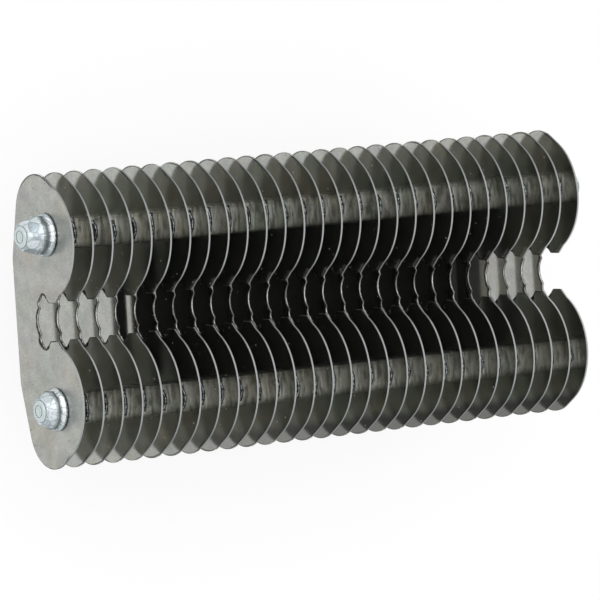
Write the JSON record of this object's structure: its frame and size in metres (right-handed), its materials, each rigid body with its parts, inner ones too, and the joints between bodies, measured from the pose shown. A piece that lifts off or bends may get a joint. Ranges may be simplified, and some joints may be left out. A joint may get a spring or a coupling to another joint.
{
  "type": "foil shaver cutter block",
  "caption": "Twin-lobed cutter block for a foil shaver: a row of thin stamped blades on two pins with spacers and crimped collars, seated on a moulded drive carrier.",
  "frame": {"origin": "centre of the bounding box at the underside of the drive boss, on which the part rests", "axes": "+X along the two pins from the front collars to the rear collars, +Y across the two cutting lobes, +Z from the carrier up to the cutting edges"},
  "size_m": [0.0372, 0.016, 0.0118],
  "materials": {
    "blade_steel": "satin stamped spring steel",
    "pin_steel": "bright drawn steel",
    "spacer_steel": "drawn steel",
    "collar_alloy": "bright crimped alloy",
    "carrier_plastic": "fine moulded"
  },
  "bodies": {
    "root": {"blade_01": "blade_steel", "blade_02": "blade_steel", "blade_03": "blade_steel", "blade_04": "blade_steel", "blade_05": "blade_steel", "blade_06": "blade_steel", "blade_07": "blade_steel", "blade_08": "blade_steel", "blade_09": "blade_steel", "blade_10": "blade_steel", "blade_11": "blade_steel", "blade_12": "blade_steel", "blade_13": "blade_steel", "blade_14": "blade_steel", "blade_15": "blade_steel", "blade_16": "blade_steel", "blade_17": "blade_steel", "blade_18": "blade_steel", "blade_19": "blade_steel", "blade_20": "blade_steel", "blade_21": "blade_steel", "blade_22": "blade_steel", "blade_23": "blade_steel", "blade_24": "blade_steel", "blade_25": "blade_steel", "blade_26": "blade_steel", "blade_27": "blade_steel", "blade_28": "blade_steel", "pin_left": "pin_steel", "pin_right": "pin_steel", "spacers_left": "spacer_steel", "spacers_right": "spacer_steel", "front_collar_left": "collar_alloy", "front_collar_right": "collar_alloy", "rear_collar_left": "collar_alloy", "rear_collar_right": "collar_alloy", "drive_carrier": "carrier_plastic"}
  },
  "joints": []
}
